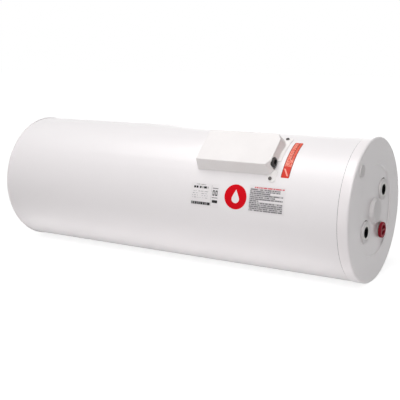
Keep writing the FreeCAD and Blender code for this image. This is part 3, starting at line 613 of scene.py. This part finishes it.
def mesh_piece(name, mesh, slot, body):
    """A finished piece that rides on a body."""
    data = bpy.data.meshes.new(name)
    mesh.to_mesh(data)
    mesh.free()
    piece = bpy.data.objects.new(name, data)
    bpy.context.scene.collection.objects.link(piece)
    data.materials.append(finishes[slot])
    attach(piece, body)
    return piece


def thread_radii(inside):
    """The wall of the thread at a depth in the mouth. Its ridges fade out near both ends."""
    left = thread_depth - mouth_chamfer - inside
    fade = max(0.0, min(1.0, inside / thread_pitch, left / thread_pitch))
    height = (thread_major - thread_minor) * fade
    radii = []
    for turn in turns:
        wave = (turn / (2 * math.pi) - inside / thread_pitch) % 1.0
        radii.append(thread_minor + height * (1 - abs(2 * wave - 1)))
    return radii


def ring(mesh, x, middle_y, middle_z, radii):
    """Points round an axis along X, one for each radius."""
    points = []
    for turn, radius in zip(turns, radii):
        spot = (x, middle_y + radius * math.cos(turn), middle_z + radius * math.sin(turn))
        points.append(mesh.verts.new(spot))
    return points


def threaded_socket(name, node):
    """A socket with its internal thread cut, in place of the plain bored one."""
    low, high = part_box(node)
    start, end = low.x, high.x
    middle_y, middle_z = (low.y + high.y) / 2, (low.z + high.z) / 2
    threaded = thread_depth - mouth_chamfer
    count = round(threaded / thread_pitch * steps_per_pitch)
    profile = [
        (start, [socket_radius] * steps_round),
        (end - socket_edge, [socket_radius] * steps_round),
        (end, [socket_radius - socket_edge] * steps_round),
        (end, [thread_minor + mouth_chamfer] * steps_round),
    ]
    for i in range(count + 1):
        inside = threaded * i / count
        profile.append((end - mouth_chamfer - inside, thread_radii(inside)))
    profile.append((end - thread_depth, [tail_bore] * steps_round))
    profile.append((start, [tail_bore] * steps_round))
    mesh = bmesh.new()
    rings = [ring(mesh, x, middle_y, middle_z, radii) for x, radii in profile]
    for here, after in zip(rings, rings[1:] + rings[:1]):
        for i in range(steps_round):
            j = (i + 1) % steps_round
            mesh.faces.new((here[i], here[j], after[j], after[i]))
    bmesh.ops.recalc_face_normals(mesh, faces=mesh.faces)
    for face in mesh.faces:
        face.smooth = True
    piece = mesh_piece(name, mesh, "socket_steel", "heater")
    piece.data.set_sharp_from_angle(angle=sharp_angle)
    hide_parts(node)


# Stage

def white_behind(tree, behind, lit):
    """Shows one shader to the camera and in gloss, and lights the object with another."""
    path = tree.nodes.new("ShaderNodeLightPath")
    seen = Field(tree, path.outputs["Is Camera Ray"])
    for ray in ("Is Glossy Ray", "Is Transmission Ray"):
        seen = seen.either(Field(tree, path.outputs[ray]))
    mix = tree.nodes.new("ShaderNodeMixShader")
    tree.links.new(seen.socket, mix.inputs[0])
    tree.links.new(lit, mix.inputs[1])
    tree.links.new(behind, mix.inputs[2])
    return mix.outputs[0]


def make_world():
    """A dim, even room, which the camera and gloss see as plain white."""
    world = bpy.data.worlds.new("studio")
    bpy.context.scene.world = world
    world.use_nodes = True
    tree = world.node_tree
    tree.nodes.clear()
    lit = tree.nodes.new("ShaderNodeBackground")
    lit.inputs["Color"].default_value = room_tint
    lit.inputs["Strength"].default_value = room_strength
    behind = tree.nodes.new("ShaderNodeBackground")
    behind.inputs["Color"].default_value = plain_white
    behind.inputs["Strength"].default_value = 1.0
    output = tree.nodes.new("ShaderNodeOutputWorld")
    shown = white_behind(tree, behind.outputs[0], lit.outputs[0])
    tree.links.new(shown, output.inputs[0])


def shadowed_white(tree):
    """White that takes a faint shadow near the object and glows plain white further out."""
    dim = tree.nodes.new("ShaderNodeBsdfDiffuse")
    dim.inputs["Color"].default_value = (floor_share, floor_share, floor_share, 1.0)
    reach = tree.nodes.new("ShaderNodeVectorMath")
    reach.operation = "LENGTH"
    places = tree.nodes.new("ShaderNodeTexCoord").outputs["Object"]
    tree.links.new(places, reach.inputs[0])
    fade = tree.nodes.new("ShaderNodeMapRange")
    fade.inputs["From Min"].default_value = shadow_reach
    fade.inputs["From Max"].default_value = 2 * shadow_reach
    fade.inputs["To Min"].default_value = floor_glow
    fade.inputs["To Max"].default_value = 1.0
    tree.links.new(reach.outputs["Value"], fade.inputs["Value"])
    glow = tree.nodes.new("ShaderNodeEmission")
    glow.inputs["Color"].default_value = plain_white
    tree.links.new(fade.outputs[0], glow.inputs["Strength"])
    both = tree.nodes.new("ShaderNodeAddShader")
    tree.links.new(dim.outputs[0], both.inputs[0])
    tree.links.new(glow.outputs[0], both.inputs[1])
    return both.outputs[0]


def make_floor():
    """A plain pale floor that keeps the object's soft shadow."""
    bpy.ops.mesh.primitive_plane_add(size=floor_size)
    floor = bpy.context.object
    floor.name = "floor"
    material = bpy.data.materials.new("floor_white")
    material.use_nodes = True
    tree = material.node_tree
    tree.nodes.clear()
    plain = tree.nodes.new("ShaderNodeBsdfDiffuse")
    plain.inputs["Color"].default_value = tone(235, 234, 234)
    output = tree.nodes.new("ShaderNodeOutputMaterial")
    shown = white_behind(tree, shadowed_white(tree), plain.outputs[0])
    tree.links.new(shown, output.inputs[0])
    floor.data.materials.append(material)


def softbox(name, place, aim, width, height, watts):
    """A soft rectangular lamp that faces a point."""
    lamp = bpy.data.lights.new(name, "AREA")
    lamp.shape = "RECTANGLE"
    lamp.size = width
    lamp.size_y = height
    lamp.energy = watts
    holder = bpy.data.objects.new(name, lamp)
    holder.location = place
    holder.rotation_mode = "QUATERNION"
    way = Vector(aim) - Vector(place)
    holder.rotation_quaternion = way.to_track_quat("-Z", "Y")
    bpy.context.scene.collection.objects.link(holder)


def make_camera():
    """The photograph's own camera."""
    data = bpy.data.cameras.new("camera")
    data.lens = camera_lens
    data.sensor_width = camera_sensor
    data.clip_end = camera_reach
    camera = bpy.data.objects.new("camera", data)
    camera.location = camera_place
    camera.rotation_mode = "QUATERNION"
    camera.rotation_quaternion = Vector(camera_aim).to_track_quat("-Z", "Y")
    bpy.context.scene.collection.objects.link(camera)
    bpy.context.scene.camera = camera


dress_nodes()
threaded_socket("hot_outlet_threaded", "hot_outlet_socket")
threaded_socket("cold_inlet_threaded", "cold_inlet_socket")
make_world()
make_floor()
softbox("top_light", (-0.2, -0.8, 2.4), aim=(0, 0, 0.2), width=3.0, height=1.2, watts=39)
softbox("front_light", (1.0, -2.3, 2.3), aim=(0.3, 0, 0.2), width=2.6, height=1.6, watts=40)
softbox("back_light", (-0.8, 2.8, 1.2), aim=(0, 0, 0.1), width=2.0, height=1.2, watts=9)
for y in (-under_light_offset, under_light_offset):
    place = (0, y, under_light_height)
    softbox("under_light", place, aim=(0, y, 1), width=1.1, height=0.18, watts=0.14)
make_camera()
bpy.context.scene.view_settings.view_transform = "Standard"
